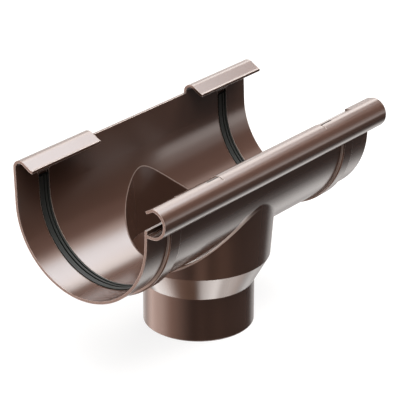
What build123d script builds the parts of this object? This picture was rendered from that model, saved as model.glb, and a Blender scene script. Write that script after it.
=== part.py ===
from build123d import *
import os
from math import cos, degrees, radians, sin, tan

# Gutter outlet: a short half-round gutter piece, moulded in one with a round neck and
# spigot for the downpipe, and two rubber gaskets that seal the gutters pushed in at its ends.
# X runs along the gutter, Y points to the rear clips, Z is up, and Z = 0 is the spigot's rim.

# Moulding
length = 284.0
wall = 2.2

# Half-round trough, outside sizes, and its upright walls
trough_radius = 64.5
wall_lean = 2.0
rear_wall_rise = 26.2
front_wall_rise = 11.5

# Spigot, cone and neck, outside sizes
spigot_radius = 45.0
spigot_height = 37.3
cone_height = 23.0
neck_step = 6.75
neck_height = 9.35
neck_draft = 4.2
spigot_lead_in = 0.8
rim_round = 1.8
seam_round = 4.6

# Tubular front bead with its lip
bead_radius = 12.2
bead_reach = 5.2
bead_rise = 18.05
lip_run = 6.2
lip_slope = 27.0
mouth_slopes = (30.0, 14.0)
mouth_length = 33.0
lip_cut_inset = 76.3
lip_cut_width = 0.8
lip_cut_start = 40.0
lip_cut_end = 119.0
slit_angle = 95.0
slit_length = 14.0
slit_width = 0.5

# Rear clips, one at each end
clip_length = 78.5
clip_radius = 7.1
clip_stem = 0.9
tongue_slope = 31.0
tongue_length = 7.3
toe_radius = 5.0
toe_turn = 28.0

# Gasket grooves, pressed outwards in the wall near each end
groove_inset = 24.8
groove_width = 11.6
groove_depth = 2.6
groove_rear_rise = 15.4
groove_front_rise = 4.0
swell_side = 1.0
swell_bevel = 1.2

# Gaskets: a base strip with three lips across its width
gasket_clearance = 0.2
gasket_end_gap = 3.4
gasket_base = 1.6
gasket_lip = 1.6
lip_widths = (3.9, 1.6, 1.4)
lip_gap = 1.7

# Places worked out from the sizes above
half_length = length / 2
wall_inside = trough_radius - wall
cone_radius = trough_radius - neck_step
cone_top = spigot_height + cone_height
axis_height = cone_top + neck_height + trough_radius
lean = radians(wall_lean)
neck_top = axis_height - trough_radius * sin(lean)
neck_top_radius = cone_radius + (neck_top - cone_top) * tan(radians(neck_draft))
rear_top = axis_height + rear_wall_rise
front_top = axis_height + front_wall_rise
bead_y = -(trough_radius + bead_reach)
bead_z = axis_height + bead_rise


def wall_reach(radius, height):
    """How far an upright wall face stands from the middle plane at a height."""
    return (radius + (height - axis_height) * sin(lean)) / cos(lean)


def trough_band(inner, outer, rear_end, front_end, start):
    """Section between two faces that follow the trough, on the plane at start."""
    with BuildSketch(Plane.YZ.offset(start)) as band:
        with BuildLine():
            arcs = [
                CenterArc((0, axis_height), radius, 180 + wall_lean, 180 - 2 * wall_lean)
                for radius in (inner, outer)
            ]
            for end, side, top in ((0, -1, front_end), (1, 1, rear_end)):
                Polyline(
                    arcs[0] @ end,
                    (side * wall_reach(inner, top), top),
                    (side * wall_reach(outer, top), top),
                    arcs[1] @ end,
                )
        make_face()
    return band.sketch


def walled(line, start):
    """Section of a wall that lies to the left of a line, on the plane at start."""
    with BuildSketch(Plane.YZ.offset(start)) as section:
        with BuildLine():
            offset(line, amount=wall, side=Side.LEFT, closed=True, kind=Kind.INTERSECTION)
        make_face()
    return section.sketch


def plug(line):
    """Solid turned between the outlet's axis and a line."""
    with BuildPart() as turned:
        with BuildSketch(Plane.XZ):
            with BuildLine():
                add(line)
                Polyline(line @ 0, (0, (line @ 0).Y), (0, (line @ 1).Y), line @ 1)
            make_face()
        revolve(axis=Axis.Z)
    return turned.part


def swelling(start):
    """Rounded band round the trough wall that gives the gasket groove at start its room."""
    with BuildPart() as band:
        extrude(
            trough_band(
                trough_radius - wall / 2,
                trough_radius + groove_depth,
                axis_height + groove_rear_rise + wall,
                axis_height + groove_front_rise + wall,
                start - swell_side,
            ),
            amount=groove_width + 2 * swell_side,
        )
        chamfer(band.edges().filter_by(GeomType.CIRCLE).sort_by(SortBy.RADIUS)[-2:], swell_bevel)
    return band.part


def bead_section(start, slope, hooked=False):
    """Section of the front bead on the plane at start: a lip climbs from the gutter's side to the
    crest, flat or hooked over, and a half round runs down outside and back to the front wall."""
    crest = bead_z + bead_radius
    with BuildLine() as line:
        if hooked:
            hook = lip_run / sin(radians(2 * slope))
            CenterArc((bead_y, crest - hook), hook, 90 - 2 * slope, 2 * slope)
        else:
            Line((bead_y + lip_run, crest - lip_run * tan(radians(slope))), (bead_y, crest))
        half_round = CenterArc((bead_y, bead_z), bead_radius, 90, 180)
        Line(half_round @ 1, (wall / 2 - trough_radius, bead_z - bead_radius))
    return walled(line.line, start)


def bead_sector(start, first, last):
    """Sector of the bead's section between two angles, past its wall, on the plane at start."""
    with BuildSketch(Plane.YZ.offset(start)) as sector:
        with BuildLine():
            sweep_arc = CenterArc((bead_y, bead_z), 2 * bead_radius, first, last - first)
            Polyline(sweep_arc @ 0, (bead_y, bead_z), sweep_arc @ 1)
        make_face()
    return sector.sketch


# Outside of the spigot, cone and neck, and their inside one wall further in
with BuildLine() as neck_outside:
    Polyline(
        (spigot_radius, 0),
        (spigot_radius, spigot_height),
        (cone_radius, cone_top),
        (neck_top_radius, neck_top),
    )
with BuildLine() as neck_inside:
    offset(neck_outside.line, amount=wall, side=Side.LEFT, closed=False, kind=Kind.INTERSECTION)

# Rear clip: the wall goes on up, arches over and ends in a sloping tongue
with BuildLine() as clip_line:
    stem = Line(
        (wall_reach(trough_radius, rear_top - wall), rear_top - wall),
        (wall_reach(trough_radius, rear_top + clip_stem), rear_top + clip_stem),
    )
    arch = JernArc(stem @ 1, stem % 1, clip_radius, 90 + wall_lean + tongue_slope)
    tongue = PolarLine(arch @ 1, tongue_length, direction=arch % 1)
    JernArc(tongue @ 1, tongue % 1, toe_radius, -toe_turn)

neck_blank = plug(neck_outside.line)
neck_bore = plug(neck_inside.line)
mouth_at = half_length - mouth_length
cut_at = half_length - lip_cut_inset
slit_spread = degrees(slit_width / bead_radius) / 2
groove_starts = (-half_length + groove_inset, half_length - groove_inset - groove_width)
swellings = [swelling(start) for start in groove_starts]

with BuildPart() as outlet_body:
    # The neck starts as a solid plug, cleared where the gutter's water runs
    add(neck_blank)
    with BuildSketch(Plane.YZ.offset(-half_length)):
        with Locations((0, axis_height)):
            Circle(wall_inside)
    extrude(amount=length, mode=Mode.SUBTRACT)

    # Trough wall over the whole length, with its seam to the neck rounded
    extrude(trough_band(wall_inside, trough_radius, rear_top, front_top, -half_length), amount=length)
    seam = outlet_body.edges(Select.LAST).filter_by(GeomType.BSPLINE).sort_by(SortBy.LENGTH)[-1]
    fillet(seam, seam_round)

    # Front bead, from the left end to the right: the lip drops most at the left mouth and least at
    # the right one, and hooks over between the two cuts that let it spring
    for start, end, slope, hooked in (
        (-half_length, -mouth_at, mouth_slopes[0], False),
        (-mouth_at, -cut_at, lip_slope, False),
        (-cut_at, cut_at, lip_slope, True),
        (cut_at, mouth_at, lip_slope, False),
        (mouth_at, half_length, mouth_slopes[1], False),
    ):
        extrude(bead_section(start, slope, hooked), amount=end - start)
    for side in (-1, 1):
        extrude(
            bead_sector(side * cut_at, lip_cut_start, lip_cut_end),
            amount=lip_cut_width / 2,
            both=True,
            mode=Mode.SUBTRACT,
        )
        extrude(
            bead_sector(side * cut_at, slit_angle - slit_spread, slit_angle + slit_spread),
            amount=side * slit_length,
            mode=Mode.SUBTRACT,
        )

    # At each end: the rear clip, and the swelling with its gasket groove inside
    for start in (-half_length, half_length - clip_length):
        extrude(walled(clip_line.line, start), amount=clip_length)
    add(swellings)
    for start in groove_starts:
        extrude(
            trough_band(
                wall_inside - wall,
                wall_inside + groove_depth,
                axis_height + groove_rear_rise,
                axis_height + groove_front_rise,
                start,
            ),
            amount=groove_width,
            mode=Mode.SUBTRACT,
        )

    # Bore of the neck, cone and spigot, opening through the trough's bottom
    add(neck_bore, mode=Mode.SUBTRACT)
    hole_rim = outlet_body.edges(Select.LAST).filter_by(GeomType.BSPLINE)
    fillet(hole_rim, rim_round)
    spigot_rim = outlet_body.edges().filter_by(GeomType.CIRCLE).group_by(Axis.Z)[0]
    chamfer(spigot_rim.sort_by(SortBy.RADIUS)[-1], spigot_lead_in)

outlet_body.part.label = "outlet_body"

# Gaskets: a strip in each groove, with lips that reach into the gutter's bore
gaskets = {}
for name, start in zip(("gasket_left", "gasket_right"), groove_starts):
    with BuildPart() as gasket:
        seat = wall_inside + groove_depth - gasket_clearance
        rear_end = axis_height + groove_rear_rise - gasket_end_gap
        front_end = axis_height + groove_front_rise - gasket_clearance
        strip_start = start + gasket_clearance
        extrude(
            trough_band(seat - gasket_base, seat, rear_end, front_end, strip_start),
            amount=groove_width - 2 * gasket_clearance,
        )
        for width in lip_widths:
            lip_top = seat - gasket_base - gasket_lip
            extrude(trough_band(lip_top, seat, rear_end, front_end, strip_start), amount=width)
            strip_start += width + lip_gap
    gasket.part.label = name
    gaskets[name] = gasket.part

os.makedirs("parts", exist_ok=True)
export_step(outlet_body.part, "parts/outlet_body.step")
for name, solid in gaskets.items():
    export_step(solid, f"parts/{name}.step")
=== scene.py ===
from math import pi, radians

import bpy
from mathutils import Euler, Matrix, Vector

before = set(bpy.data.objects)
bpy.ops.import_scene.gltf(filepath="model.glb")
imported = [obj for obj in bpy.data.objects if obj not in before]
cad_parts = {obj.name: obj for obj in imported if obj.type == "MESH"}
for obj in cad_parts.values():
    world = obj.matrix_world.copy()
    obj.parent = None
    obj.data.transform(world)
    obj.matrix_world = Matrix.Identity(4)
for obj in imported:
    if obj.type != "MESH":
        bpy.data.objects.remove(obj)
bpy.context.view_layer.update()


# Outlet body: the gutter piece, its front bead and rear clips, and the neck with its spigot.
# One injection moulding in dark brown PVC with a satin gloss, straight from a polished tool.
def new_group(name, inputs, outputs):
    """Empty shader group whose sockets are given as (name, type, value) and (name, type)."""
    group = bpy.data.node_groups.new(name, "ShaderNodeTree")
    for socket, kind, value in inputs:
        made = group.interface.new_socket(name=socket, in_out="INPUT", socket_type=kind)
        made.default_value = value
    for socket, kind in outputs:
        group.interface.new_socket(name=socket, in_out="OUTPUT", socket_type=kind)
    return group


def add_node(tree, kind, **settings):
    node = tree.nodes.new(kind)
    for name, value in settings.items():
        setattr(node, name, value)
    return node


def place_group(tree, group, **values):
    """Puts a group in a material, with its own values for the group's inputs."""
    node = tree.nodes.new("ShaderNodeGroup")
    node.node_tree = group
    for name, value in values.items():
        node.inputs[name.replace("_", " ").capitalize()].default_value = value
    return node


# Every edge of a moulding is softly broken, so its rounded normal catches real light, and the
# materials also paint it lighter as a fine painted highlight. The painted line starts and is full
# where the cosine between the true normal and the rounded one falls to these values
edge_starts = 0.97
edge_full = 0.91

broken_edge = new_group(
    "broken_edge",
    [("Radius", "NodeSocketFloat", 0.0005)],
    [("Normal", "NodeSocketVector"), ("Edge", "NodeSocketFloat")],
)
group_in = add_node(broken_edge, "NodeGroupInput")
group_out = add_node(broken_edge, "NodeGroupOutput")
bevel = add_node(broken_edge, "ShaderNodeBevel", samples=8)
surface = add_node(broken_edge, "ShaderNodeNewGeometry")
facing = add_node(broken_edge, "ShaderNodeVectorMath", operation="DOT_PRODUCT")
turned = add_node(broken_edge, "ShaderNodeMapRange")
turned.inputs["From Min"].default_value = edge_starts
turned.inputs["From Max"].default_value = edge_full
broken_edge.links.new(group_in.outputs["Radius"], bevel.inputs["Radius"])
broken_edge.links.new(bevel.outputs["Normal"], facing.inputs[0])
broken_edge.links.new(surface.outputs["Normal"], facing.inputs[1])
broken_edge.links.new(facing.outputs["Value"], turned.inputs["Value"])
broken_edge.links.new(bevel.outputs["Normal"], group_out.inputs["Normal"])
broken_edge.links.new(turned.outputs["Result"], group_out.inputs["Edge"])

# Slow waves from the cooling of the plastic, with a fine grain of a given share on top
grain_share = 0.12

moulded_skin = new_group(
    "moulded_skin",
    [
        ("Wave", "NodeSocketFloat", 14.0),
        ("Grain", "NodeSocketFloat", 900.0),
        ("Smooth", "NodeSocketFloat", 0.2),
        ("Rough", "NodeSocketFloat", 0.3),
    ],
    [("Cloud", "NodeSocketFloat"), ("Roughness", "NodeSocketFloat"), ("Height", "NodeSocketFloat")],
)
group_in = add_node(moulded_skin, "NodeGroupInput")
group_out = add_node(moulded_skin, "NodeGroupOutput")
place = add_node(moulded_skin, "ShaderNodeTexCoord")
wave = add_node(moulded_skin, "ShaderNodeTexNoise")
wave.inputs["Detail"].default_value = 2.0
grain = add_node(moulded_skin, "ShaderNodeTexNoise")
grain.inputs["Detail"].default_value = 1.0
spread = add_node(moulded_skin, "ShaderNodeMapRange")
height = add_node(moulded_skin, "ShaderNodeMath", operation="MULTIPLY_ADD")
height.inputs[1].default_value = grain_share
moulded_skin.links.new(place.outputs["Object"], wave.inputs["Vector"])
moulded_skin.links.new(place.outputs["Object"], grain.inputs["Vector"])
moulded_skin.links.new(group_in.outputs["Wave"], wave.inputs["Scale"])
moulded_skin.links.new(group_in.outputs["Grain"], grain.inputs["Scale"])
moulded_skin.links.new(wave.outputs["Fac"], spread.inputs["Value"])
moulded_skin.links.new(group_in.outputs["Smooth"], spread.inputs["To Min"])
moulded_skin.links.new(group_in.outputs["Rough"], spread.inputs["To Max"])
moulded_skin.links.new(grain.outputs["Fac"], height.inputs[0])
moulded_skin.links.new(wave.outputs["Fac"], height.inputs[2])
moulded_skin.links.new(wave.outputs["Fac"], group_out.inputs["Cloud"])
moulded_skin.links.new(spread.outputs["Result"], group_out.inputs["Roughness"])
moulded_skin.links.new(height.outputs[0], group_out.inputs["Height"])


def new_material(name):
    """Material with an empty tree, its Principled shader and its output."""
    material = bpy.data.materials.new(name)
    material.use_nodes = True
    tree = material.node_tree
    tree.nodes.clear()
    shader = add_node(tree, "ShaderNodeBsdfPrincipled")
    output = add_node(tree, "ShaderNodeOutputMaterial")
    tree.links.new(shader.outputs["BSDF"], output.inputs["Surface"])
    return material, tree, shader


# Fine lines of the moulding, painted by their place. Lengths are in metres, as in the frame.
# Painted highlights run on the hole's rounded rim, where the seam's rounding meets the neck, on the
# swellings' sides and on the spigot's lead-in, and painted shade runs in the slits along the bead's
# crest
wall = 0.0022
neck_bottom = 0.0603
neck_radius = 0.05775
neck_flare = 0.0734
trough_axis = 0.13415

rim_bottom = 0.0715
rim_top = 0.121
rim_spare = 0.003
rim_outset = 0.0006
rim_lean = -0.011
rim_half = 0.0004
rim_taper = -0.007
rim_light = 0.3

seam_top = 0.110
seam_reach = 0.0648
seam_sag = 58.0
seam_half = 0.0006
seam_off_neck = 0.0005
seam_neck_half = 0.0012
glint_from_x = 0.002
glint_to_x = -0.018
glint_from_z = seam_top + 0.004
glint_to_z = seam_top - 0.002

swell_middle = 0.1114
swell_half = 0.0068
swell_foot = 0.0647
swell_front_end = 0.1402
swell_rear_rise = 0.0114
swell_line_half = 0.0003
swell_light = 0.6

slit_y = -0.07076
slit_half = 0.0005
slit_from = 0.0655
slit_to = 0.0797
crest_from = 0.16

lead_in_top = 0.0013
lead_in_light = 0.2

painted_fine_lines = new_group(
    "painted_fine_lines", [], [("Light", "NodeSocketFloat"), ("Dark", "NodeSocketFloat")]
)
group_out = add_node(painted_fine_lines, "NodeGroupOutput")
place = add_node(painted_fine_lines, "ShaderNodeTexCoord")
parts = add_node(painted_fine_lines, "ShaderNodeSeparateXYZ")
painted_fine_lines.links.new(place.outputs["Object"], parts.inputs[0])
at_x, at_y, at_z = parts.outputs


def work(operation, *values):
    """Result of a maths node among the painted fine lines, with numbers or sockets as its inputs.
    """
    node = add_node(painted_fine_lines, "ShaderNodeMath", operation=operation)
    for socket, value in zip(node.inputs, values):
        if isinstance(value, (int, float)):
            socket.default_value = value
        else:
            painted_fine_lines.links.new(value, socket)
    return node.outputs[0]


def near(value, middle, reach):
    """Mask that is 1 where a value is within reach of a middle."""
    return work("COMPARE", value, middle, reach)


def fade(value, none_at, full_at):
    """Mask that grows evenly from 0 to 1 between two values."""
    node = add_node(painted_fine_lines, "ShaderNodeMapRange")
    node.inputs["From Min"].default_value = none_at
    node.inputs["From Max"].default_value = full_at
    painted_fine_lines.links.new(value, node.inputs["Value"])
    return node.outputs["Result"]


# Distances outwards from the neck's face, and from the trough's axis
from_axis = work("SQRT", work("ADD", work("POWER", at_y, 2.0), work("MULTIPLY", at_x, at_x)))
neck_here = work("MULTIPLY_ADD", at_z, neck_flare, neck_radius - neck_bottom * neck_flare)
off_neck = work("SUBTRACT", from_axis, neck_here)
off_trough = work("SUBTRACT", trough_axis, at_z)
reach = work("SQRT", work("ADD", work("POWER", at_y, 2.0), work("POWER", off_trough, 2.0)))

# The hole's rim: its painted highlight line thins and moves inwards evenly as it climbs
height = work("SUBTRACT", at_z, rim_bottom)
rim_inset = work("MULTIPLY_ADD", height, rim_lean, rim_outset - wall)
rim_reach = work("MULTIPLY_ADD", height, rim_taper, rim_half)
on_rim = near(at_z, (rim_bottom + rim_top) / 2, (rim_top - rim_bottom) / 2 + rim_spare)
rim_highlight = work("MULTIPLY", near(off_neck, rim_inset, rim_reach), on_rim)

# The seam: its painted highlight line moves off the trough with the cube of the drop below its top,
# and it is painted on the left half only, as a glint of the light from the left
below_top = work("MAXIMUM", work("SUBTRACT", seam_top, at_z), 0.0)
seam_here = work("MULTIPLY_ADD", work("POWER", below_top, 3.0), seam_sag, seam_reach)
off_seam = work("SUBTRACT", reach, seam_here)
at_neck = near(off_neck, seam_off_neck, seam_neck_half)
on_seam = work("MULTIPLY", near(off_seam, 0.0, seam_half), at_neck)
glint_along = fade(at_x, glint_from_x, glint_to_x)
glint_up = fade(at_z, glint_from_z, glint_to_z)
seam_highlight = work("MULTIPLY", on_seam, work("MULTIPLY", glint_along, glint_up))

# The swellings: a painted highlight line on both sides of each, outside the trough, up to where
# it ends at front and rear
off_swell = work("ABSOLUTE", work("SUBTRACT", work("ABSOLUTE", at_x), swell_middle))
outside = work("GREATER_THAN", reach, swell_foot)
swell_end = work("MULTIPLY_ADD", work("GREATER_THAN", at_y, 0.0), swell_rear_rise, swell_front_end)
on_swell = work("MULTIPLY", outside, work("LESS_THAN", at_z, swell_end))
swell_highlight = work("MULTIPLY", near(off_swell, swell_half, swell_line_half), on_swell)

# Painted shade in the slits, and a painted highlight on the spigot's lead-in
along_slit = near(work("ABSOLUTE", at_x), (slit_from + slit_to) / 2, (slit_to - slit_from) / 2)
on_crest = work("MULTIPLY", near(at_y, slit_y, slit_half), work("GREATER_THAN", at_z, crest_from))
slit_shade = work("MULTIPLY", along_slit, on_crest)
lead_in_highlight = work("MULTIPLY", work("LESS_THAN", at_z, lead_in_top), lead_in_light)

rim_highlight = work("MULTIPLY", rim_highlight, rim_light)
swell_highlight = work("MULTIPLY", swell_highlight, swell_light)
# The painted highlights together, the lightest one wins
painted_highlights = work("MAXIMUM", work("MAXIMUM", rim_highlight, swell_highlight), lead_in_highlight)
painted_fine_lines.links.new(work("MAXIMUM", painted_highlights, seam_highlight), group_out.inputs["Light"])
painted_fine_lines.links.new(slit_shade, group_out.inputs["Dark"])

brown_deep = (0.050, 0.0262, 0.0188, 1.0)
brown_warm = (0.062, 0.0330, 0.0244, 1.0)
# Painted highlight: the lighter brown painted on edges and on the fine light lines
brown_painted_highlight = (0.57, 0.465, 0.42, 1.0)
# Painted shade: the near black painted in the slits
slit_painted_shade = (0.004, 0.003, 0.002, 1.0)

brown_pvc, tree, shader = new_material("brown_pvc_moulded")
skin = place_group(tree, moulded_skin, wave=14.0, grain=1400.0, smooth=0.17, rough=0.23)
edge = place_group(tree, broken_edge, radius=0.0006)
painted_lines = place_group(tree, painted_fine_lines)
body_tint = add_node(tree, "ShaderNodeMix", data_type="RGBA")
body_tint.inputs["A"].default_value = brown_deep
body_tint.inputs["B"].default_value = brown_warm
lit = add_node(tree, "ShaderNodeMath", operation="MAXIMUM")
# Painted highlight: edges and the fine light lines take the lighter brown
painted_highlight_tint = add_node(tree, "ShaderNodeMix", data_type="RGBA")
painted_highlight_tint.inputs["B"].default_value = brown_painted_highlight
# Painted shade: the slits take the near black
slit_shade_tint = add_node(tree, "ShaderNodeMix", data_type="RGBA")
slit_shade_tint.inputs["B"].default_value = slit_painted_shade
dull = add_node(tree, "ShaderNodeMath", operation="MAXIMUM")
bump = add_node(tree, "ShaderNodeBump")
bump.inputs["Strength"].default_value = 0.12
bump.inputs["Distance"].default_value = 0.0002
tree.links.new(skin.outputs["Cloud"], body_tint.inputs["Factor"])
tree.links.new(body_tint.outputs["Result"], painted_highlight_tint.inputs["A"])
tree.links.new(edge.outputs["Edge"], lit.inputs[0])
tree.links.new(painted_lines.outputs["Light"], lit.inputs[1])
tree.links.new(lit.outputs[0], painted_highlight_tint.inputs["Factor"])
tree.links.new(painted_highlight_tint.outputs["Result"], slit_shade_tint.inputs["A"])
tree.links.new(painted_lines.outputs["Dark"], slit_shade_tint.inputs["Factor"])
tree.links.new(slit_shade_tint.outputs["Result"], shader.inputs["Base Color"])
tree.links.new(skin.outputs["Roughness"], dull.inputs[0])
tree.links.new(painted_lines.outputs["Dark"], dull.inputs[1])
tree.links.new(dull.outputs[0], shader.inputs["Roughness"])
tree.links.new(skin.outputs["Height"], bump.inputs["Height"])
tree.links.new(edge.outputs["Normal"], bump.inputs["Normal"])
tree.links.new(bump.outputs["Normal"], shader.inputs["Normal"])

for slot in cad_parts["outlet_body"].material_slots:
    slot.material = brown_pvc


# Gaskets: black rubber strips with three lips, pressed into the grooves near the two ends.
# They are extruded, then cut to length, and seal the gutters that are pushed in.
rubber_black = (0.020, 0.0215, 0.0210, 1.0)
# Painted highlight: the lighter grey painted on the lips' broken edges
rubber_edge_highlight = (0.060, 0.063, 0.060, 1.0)

gasket_rubber, tree, shader = new_material("gasket_rubber_black")
shader.inputs["Specular IOR Level"].default_value = 0.1
skin = place_group(tree, moulded_skin, wave=60.0, grain=2600.0, smooth=0.5, rough=0.65)
edge = place_group(tree, broken_edge, radius=0.0004)
rubber_highlight_tint = add_node(tree, "ShaderNodeMix", data_type="RGBA")
rubber_highlight_tint.inputs["A"].default_value = rubber_black
rubber_highlight_tint.inputs["B"].default_value = rubber_edge_highlight
bump = add_node(tree, "ShaderNodeBump")
bump.inputs["Strength"].default_value = 0.3
bump.inputs["Distance"].default_value = 0.0002
# Painted highlight on the broken edges of the lips
tree.links.new(edge.outputs["Edge"], rubber_highlight_tint.inputs["Factor"])
tree.links.new(rubber_highlight_tint.outputs["Result"], shader.inputs["Base Color"])
tree.links.new(skin.outputs["Roughness"], shader.inputs["Roughness"])
tree.links.new(skin.outputs["Height"], bump.inputs["Height"])
tree.links.new(edge.outputs["Normal"], bump.inputs["Normal"])
tree.links.new(bump.outputs["Normal"], shader.inputs["Normal"])

for name in ("gasket_left", "gasket_right"):
    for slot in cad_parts[name].material_slots:
        slot.material = gasket_rubber


# Floor: the plain white studio floor that the outlet stands on.
# It shows white and takes the outlet's shadow. In the gloss the lights all round take its place.
floor_half = 6.0
floor_drop = 0.0002
floor_grey = 0.22
floor_level = 0.84

floor_mesh = bpy.data.meshes.new("studio_floor")
floor_mesh.from_pydata(
    [
        (-floor_half, -floor_half, 0),
        (floor_half, -floor_half, 0),
        (floor_half, floor_half, 0),
        (-floor_half, floor_half, 0),
    ],
    [],
    [(0, 1, 2, 3)],
)
floor = bpy.data.objects.new("studio_floor", floor_mesh)
bpy.context.collection.objects.link(floor)
floor_white, tree, shader = new_material("floor_white")
shader.inputs["Base Color"].default_value = (floor_grey, floor_grey, floor_grey, 1.0)
shader.inputs["Roughness"].default_value = 0.9
shader.inputs["Specular IOR Level"].default_value = 0.0
shader.inputs["Emission Color"].default_value = (1.0, 1.0, 1.0, 1.0)
rays = add_node(tree, "ShaderNodeLightPath")
seen = add_node(tree, "ShaderNodeMath", operation="MAXIMUM")
mirrored = add_node(tree, "ShaderNodeMath", operation="MAXIMUM")
level = add_node(tree, "ShaderNodeMath", operation="MULTIPLY")
level.inputs[1].default_value = floor_level
tree.links.new(rays.outputs["Is Camera Ray"], seen.inputs[0])
tree.links.new(rays.outputs["Is Glossy Ray"], mirrored.inputs[0])
tree.links.new(rays.outputs["Is Transmission Ray"], mirrored.inputs[1])
tree.links.new(mirrored.outputs[0], seen.inputs[1])
tree.links.new(seen.outputs[0], level.inputs[0])
tree.links.new(level.outputs[0], shader.inputs["Emission Strength"])
floor.data.materials.append(floor_white)
floor.location = (0, 0, -floor_drop)
floor.visible_glossy = False


# Light: an even room with two soft boxes, and round soft lights of many sizes all round.
# The round lights are seen in the gloss alone, placed so that it runs as on the product.
room_even = (0.3, 0.29, 0.28, 1.0)
gloss_dark = (0.12, 0.11, 0.11, 1.0)
room_white = (1.0, 0.96, 0.93)
room_cream = (1.0, 0.83, 0.76)
room_warm = (1.0, 0.80, 0.72)
room_peach = (1.0, 0.80, 0.69)
room_rose = (1.0, 0.6, 0.5)
room_clay = (1.0, 0.60, 0.47)
room_rust = (1.0, 0.55, 0.4)
room_copper = (1.0, 0.5, 0.35)
room_amber = (1.0, 0.5, 0.3)
room_blue = (0.86, 1.15, 1.36)

world = bpy.data.worlds.new("studio_room")
world.use_nodes = True
bpy.context.scene.world = world
tree = world.node_tree
backdrop = tree.nodes["Background"]
rays = add_node(tree, "ShaderNodeLightPath")
way = add_node(tree, "ShaderNodeTexCoord")
room = add_node(tree, "ShaderNodeMix", data_type="RGBA")
room.inputs["A"].default_value = room_even
tree.links.new(rays.outputs["Is Glossy Ray"], room.inputs["Factor"])
tree.links.new(room.outputs["Result"], backdrop.inputs["Color"])


def pointing(azimuth, elevation):
    """Unit vector at an azimuth from +X and an elevation above the floor, in degrees."""
    return Euler((0, -radians(elevation), radians(azimuth))).to_matrix() @ Vector((1, 0, 0))


def add_glow(total, azimuth, elevation, radius, blur, brightness, colour):
    """Adds a round light to the gloss, with its radius and its border's half width in degrees."""
    toward = add_node(tree, "ShaderNodeVectorMath", operation="DOT_PRODUCT")
    toward.inputs[1].default_value = pointing(azimuth, elevation)
    angle = add_node(tree, "ShaderNodeMath", operation="ARCCOSINE")
    border = add_node(tree, "ShaderNodeMapRange", interpolation_type="SMOOTHSTEP")
    border.inputs["From Min"].default_value = radians(radius + blur)
    border.inputs["From Max"].default_value = radians(radius - blur)
    border.inputs["To Max"].default_value = brightness
    added = add_node(tree, "ShaderNodeVectorMath", operation="MULTIPLY_ADD")
    added.inputs[1].default_value = colour
    tree.links.new(way.outputs["Generated"], toward.inputs[0])
    tree.links.new(toward.outputs["Value"], angle.inputs[0])
    tree.links.new(angle.outputs[0], border.inputs["Value"])
    tree.links.new(border.outputs["Result"], added.inputs[0])
    tree.links.new(total, added.inputs[2])
    return added.outputs["Vector"]


base = add_node(tree, "ShaderNodeRGB")
base.outputs[0].default_value = gloss_dark
total = base.outputs[0]

# Azimuth, elevation, radius and blur of each light in degrees, its brightness and its colour
for glow in (
    (-10, 70, 28.8, 4, 8.2, room_peach),
    (-10, 70, 27.0, 4, 5.8, room_blue),
    (-28, 39, 4, 6, 5.5, room_warm),
    (24, 37, 10, 5, 8.0, room_white),
    (45, 22, 14, 6, 2.5, room_white),
    (38, -4, 10, 6, 0.8, room_white),
    (-42, -3.5, 6, 2.5, 1.8, room_white),
    (-42, 2, 9.5, 3.5, 1.2, room_white),
    (-38, 15, 24.5, 4, 0.45, room_rose),
    (122, -25, 24, 12, 2.6, room_cream),
    (142, -25, 36, 27, 3.2, room_clay),
    (96, -27, 14, 8, 1.0, room_warm),
    (70, -27, 12, 10, 0.7, room_warm),
    (90, -57, 14, 8, 4.8, room_white),
    (-78, -79, 9.5, 3, 5.4, room_white),
    (-48, -68, 14, 9, 3.8, room_white),
    (-110, -75, 42, 5, 0.7, room_amber),
    (-5, -52, 12, 9, 1.5, room_white),
    (4, -37, 10, 5, 0.7, room_white),
    (-20, -43, 8, 6, 0.5, room_white),
    (38, -24, 35, 15, 0.7, room_white),
    (-138, -42, 9, 6, 2.2, room_rust),
    (-100, -44, 12, 7, 0.7, room_copper),
    (-120, 45, 30, 20, 1.0, room_white),
):
    total = add_glow(total, *glow)
tree.links.new(total, room.inputs["B"])


outlet_middle = Vector((0, 0, 0.12))


def hang_box(name, azimuth, elevation, distance, width, tall, brightness):
    """Soft box turned to face the outlet, kept out of the view and of the gloss."""
    lamp = bpy.data.lights.new(name, "AREA")
    lamp.shape = "RECTANGLE"
    lamp.size = width
    lamp.size_y = tall
    lamp.energy = brightness * 4 * pi * width * tall
    lamp.color = room_white
    box = bpy.data.objects.new(name, lamp)
    bpy.context.collection.objects.link(box)
    toward = pointing(azimuth, elevation)
    box.location = toward * distance + outlet_middle
    box.rotation_euler = (-toward).to_track_quat("-Z", "Y").to_euler()
    box.visible_camera = False
    box.visible_glossy = False


hang_box("back_box", azimuth=0, elevation=60, distance=3.2, width=3.6, tall=2.1, brightness=2.0)
hang_box("front_box", azimuth=-140, elevation=60, distance=2.2, width=1.5, tall=1.5, brightness=1.6)


# Camera: a long lens from the front left, above the object.
# Its place, heading, tilt and focal length were solved together with the outlet's proportions.
photo_width = 400
focal_pixels = 2081.3
camera_place = (-1.1877, -0.9377, 0.7702)
heading = -51.753
tilt = 23.777

camera_data = bpy.data.cameras.new("camera")
camera_data.sensor_width = 36.0
camera_data.lens = focal_pixels / photo_width * camera_data.sensor_width
camera = bpy.data.objects.new("camera", camera_data)
bpy.context.collection.objects.link(camera)
camera.location = camera_place
camera.rotation_euler = (radians(90 - tilt), 0, radians(heading))
bpy.context.scene.camera = camera
bpy.context.scene.view_settings.view_transform = "Standard"
